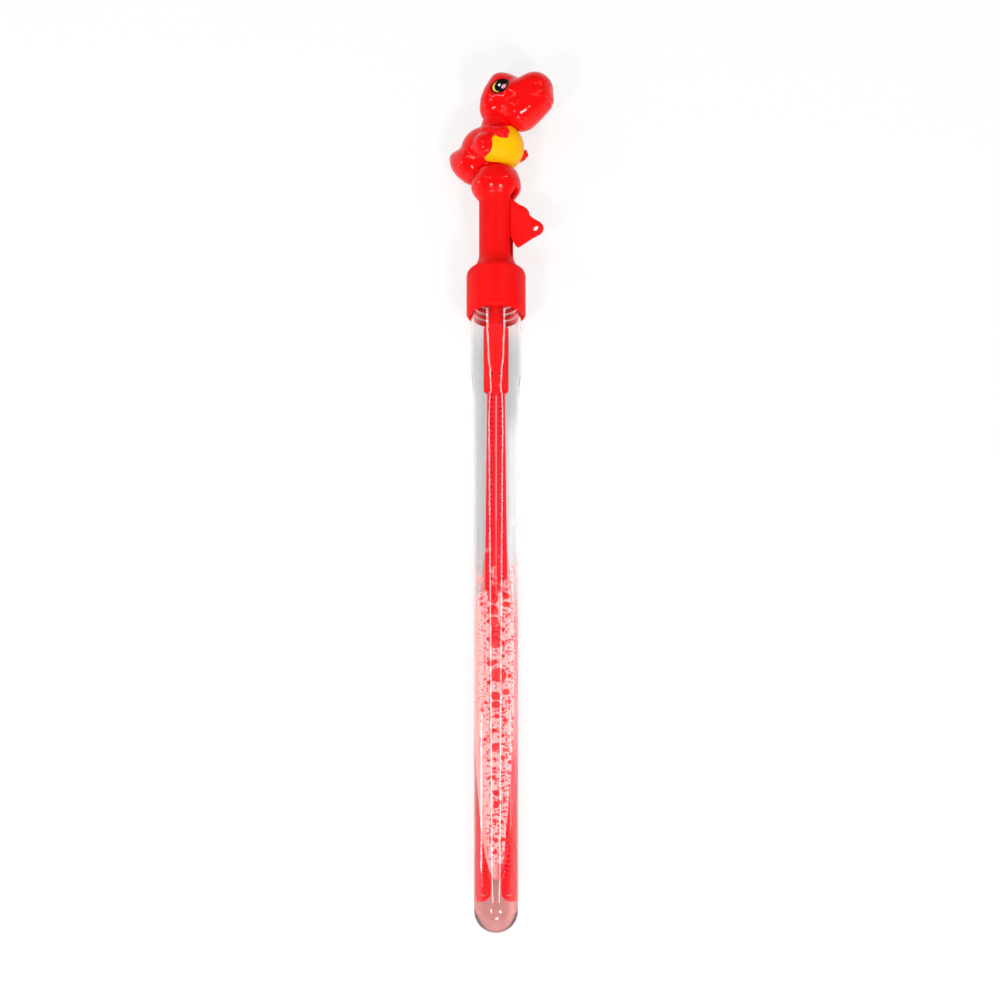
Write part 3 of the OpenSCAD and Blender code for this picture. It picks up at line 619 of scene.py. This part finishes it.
bmesh.ops.rotate(bm, verts=bm.verts, cent=(0, 0, 0), matrix=Matrix.Rotation(math.pi / 2, 3, "Y"))
bmesh.ops.rotate(bm, verts=bm.verts, cent=(0, 0, 0), matrix=Matrix.Rotation(-belly_lean, 3, "Z"))
bmesh.ops.recalc_face_normals(bm, faces=bm.faces)
bmesh.ops.solidify(bm, geom=bm.faces[:], thickness=belly_t / 1000)
bmesh.ops.translate(bm, verts=bm.verts, vec=(chest_x / 1000, chest_w / 1000, 0))
roll_up(bm)
belly = finish_mesh("belly_shell", bm, yellow_abs, crease_deg=60)
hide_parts("belly_plate")
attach(belly, "handle")


# Forelimbs: short solid mouldings set on the chest, one held higher than the other,
# each a bent arm that ends in a round paw with three blunt claws.
near_limb = [
    (-1.4, 8.0, 413.0, 3.5, 1), (0.8, 8.7, 412.7, 3.3, 1), (2.8, 9.2, 412.0, 3.2, 1), (4.8, 9.5, 411.3, 3.3, 1),
    (6.5, 9.6, 410.6, 3.5, 1), (8.7, 10.4, 412.4, 1.5, 1), (9.5, 10.0, 410.6, 1.5, 1), (8.6, 9.6, 408.7, 1.5, 1),
]
far_limb = [
    (-1.0, -8.2, 411.4, 3.5, 1), (1.8, -8.5, 410.2, 3.3, 1), (4.4, -8.6, 408.8, 3.2, 1), (6.6, -8.5, 407.3, 3.3, 1),
    (8.7, -8.3, 406.0, 3.5, 1), (11.2, -9.2, 407.4, 1.5, 1), (11.9, -8.4, 405.7, 1.5, 1), (10.9, -7.8, 404.1, 1.5, 1),
]
for name, balls in (("forelimb_near", near_limb), ("forelimb_far", far_limb)):
    bm = blob_mesh(balls, voxel=0.25, rounds=20, grow=0.12)
    roll_up(bm)
    limb = finish_mesh("paw_" + name, bm, red_polished, crease_deg=180)
    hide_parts(name)
    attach(limb, "handle")


# Dinosaur's head: two hollow moulded halves over the neck, a high brow, a fat round snout and a full jaw.
# The mouth is a groove in the mould, the nostrils are dimples, and the halves meet in a fine seam.
head_balls = [
    (3.4, 0, 440.8, 6.1, 1.4), (2.8, 0, 438.0, 6.9, 1.4), (2.0, 0, 434.9, 7.8, 1.38), (1.4, 0, 431.6, 8.5, 1.32),
    (0.9, 0, 428.4, 8.4, 1.3), (5.0, 0, 439.3, 6.9, 1.38), (6.9, 0, 437.4, 7.5, 1.32), (11.0, 0, 433.4, 8.5, 1.28),
    (14.2, 0, 432.8, 8.5, 1.22), (12.2, 0, 432.2, 9.4, 1.24), (20.5, 0, 435.6, 8.6, 1.15), (20.9, 0, 430.9, 8.5, 1.15),
    (17.5, 0, 428.4, 9.0, 1.15), (15.0, 0, 426.6, 9.1, 1.18), (12.4, 0, 425.2, 9.4, 1.2), (6.6, 0, 430.4, 10.4, 1.08),
    (17.0, 0, 433.8, 9.0, 1.16),
]
bm = blob_mesh(head_balls, voxel=0.4, rounds=80, grow=0.25)
press_seam(bm)
mouth_line = [
    (29.5, 428.4), (26.8, 427.9), (25.4, 427.9), (23.4, 428.0), (21.4, 427.9), (19.4, 427.3), (17.5, 426.3),
    (15.8, 425.2), (14.7, 424.0),
]
groove_deep, groove_wide, groove_end, groove_fade = 0.5, 0.5, 13.6, 3.0
nostril_x, nostril_w, nostril_deep, nostril_wide = 25.4, 433.8, 0.5, 0.8
bm.normal_update()
for v in bm.verts:
    at = Vector((v.co.x * 1000, v.co.y * 1000))
    away = 99.0
    for (x0, w0), (x1, w1) in zip(mouth_line, mouth_line[1:]):
        start, run = Vector((x0, w0)), Vector((x1 - x0, w1 - w0))
        along = min(1.0, max(0.0, (at - start).dot(run) / run.length_squared))
        away = min(away, (at - start - run * along).length)
    fade = min(1.0, max(0.0, (at.x - groove_end) / groove_fade))
    pit = math.hypot(at.x - nostril_x, at.y - nostril_w)
    sunk = groove_deep * math.exp(-(away / groove_wide) ** 2) * fade
    sunk += nostril_deep * math.exp(-(pit / nostril_wide) ** 2)
    v.co -= v.normal * sunk / 1000
head_tree = BVHTree.FromBMesh(bm)
roll_up(bm)
head = finish_mesh("dinosaur_head", bm, red_polished, crease_deg=180)
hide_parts("head_near_shell", "head_far_shell")
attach(head, "handle")


# Eyes: pad-printed on both cheeks in four inks, one over the other,
# a black rim, a yellow iris that shows as a crescent, a black pupil and pale glints.
def print_ink(name, code):
    ink, tree = new_material(name)
    speck = noise(tree, object_coords(tree), 1500.0)
    principled(tree, {
        "Base Color": linear(code), "Roughness": ramp(tree, speck, 0.0, 1.0, 0.22, 0.34), "IOR": 1.5,
        "Specular IOR Level": 0.2})
    return ink


inks = [
    print_ink("black_pad_ink", "#0A0606"), print_ink("yellow_pad_ink", "#F7C658"),
    print_ink("white_pad_ink", "#FFFFFF"), print_ink("pink_pad_ink", "#F7A9C4"),
]
black, yellow, white, pink = range(4)
eye_layers = [
    (6.25, 435.6, 4.9, 4.15, 14, black), (6.5, 435.6, 4.15, 3.5, 14, yellow), (7.15, 435.85, 3.65, 3.8, -8, black),
    (8.3, 434.9, 1.4, 1.3, 20, pink), (5.8, 436.3, 0.65, 0.7, 0, white),
]
ink_t, cast_from = 0.03, 0.03
bm = bmesh.new()
for way in (1, -1):
    for layer, (x, w, wide, high, turn, ink) in enumerate(eye_layers):
        before = set(bm.verts)
        made = bmesh.ops.create_circle(bm, cap_ends=True, segments=48, radius=1.0)
        rim_face = made["verts"][0].link_faces[0]
        rim_face.material_index = ink
        for ring in range(5):
            bmesh.ops.inset_region(bm, faces=[rim_face], thickness=0.17, use_boundary=True)
        for v in [v for v in bm.verts if v not in before]:
            spot = Vector((v.co.x * wide, v.co.y * high)) @ Matrix.Rotation(math.radians(-turn), 2)
            above = Vector(((x + spot.x) / 1000, (w + spot.y) / 1000, cast_from * way))
            hit, out, _, _ = head_tree.ray_cast(above, Vector((0, 0, -way)))
            v.co = hit + out * (ink_t + ink_t * layer) / 1000
bmesh.ops.recalc_face_normals(bm, faces=bm.faces)
for f in bm.faces:
    if f.normal.z * f.calc_center_median().z < 0:
        f.normal_flip()
roll_up(bm)
eyes = finish_mesh("eye_prints", bm, inks[0], crease_deg=180)
for ink in inks[1:]:
    eyes.data.materials.append(ink)
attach(eyes, "handle")


# Works inside the handle: steel pins, a white push rod with its yoke, and a soft washer under the cap.
# They are kept as built, the pins drawn and cut, the rod moulded, the washer punched from foam.
def works_material(name, code, scale, gloss_low, gloss_high, more):
    material, tree = new_material(name)
    streak = noise(tree, object_coords(tree), scale)
    principled(tree, {
        "Base Color": linear(code), "Roughness": ramp(tree, streak, 0.0, 1.0, gloss_low, gloss_high), **more})
    return material


drawn_steel = works_material("drawn_steel_wire", "#C4C6C8", 900.0, 0.22, 0.38, {"Metallic": 1.0})
dark_steel = works_material("blackened_steel_pin", "#3C1214", 900.0, 0.45, 0.6, {"Metallic": 0.6})
white_pom = works_material("white_acetal_moulded", "#EDECE6", 80.0, 0.34, 0.46, {"IOR": 1.48})
soft_eva, tree = new_material("eva_foam_washer")
cells = add_node(tree, "ShaderNodeTexVoronoi", {}, {"Vector": object_coords(tree), "Scale": 2500.0})
pores = add_node(tree, "ShaderNodeBump", {}, {
    "Height": cells.outputs["Distance"], "Strength": 0.3, "Distance": 0.0002})
principled(tree, {"Base Color": linear("#E6E2D6"), "Roughness": 0.7, "Normal": pores.outputs[0]})
for name, material in (
    ("trigger_pin", drawn_steel), ("link_pin", drawn_steel), ("arm_pins", dark_steel),
    ("push_rod", white_pom), ("sealing_washer", soft_eva),
):
    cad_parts[name].data.materials.clear()
    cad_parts[name].data.materials.append(material)


# Return spring: a coil of steel wire round the push rod, between the stem's pocket and the yoke.
# The real coil closes up by the rod's stroke when the trigger is squeezed; this copy keeps its built length.
coil = bpy.data.objects.new("coil_spring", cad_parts["return_spring"].data.copy())
scene.collection.objects.link(coil)
coil.data.materials.clear()
coil.data.materials.append(drawn_steel)
coil.data.shade_smooth()
coil.data.set_sharp_from_angle(angle=math.radians(50))
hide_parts("return_spring")
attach(coil, "handle")
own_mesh(coil)
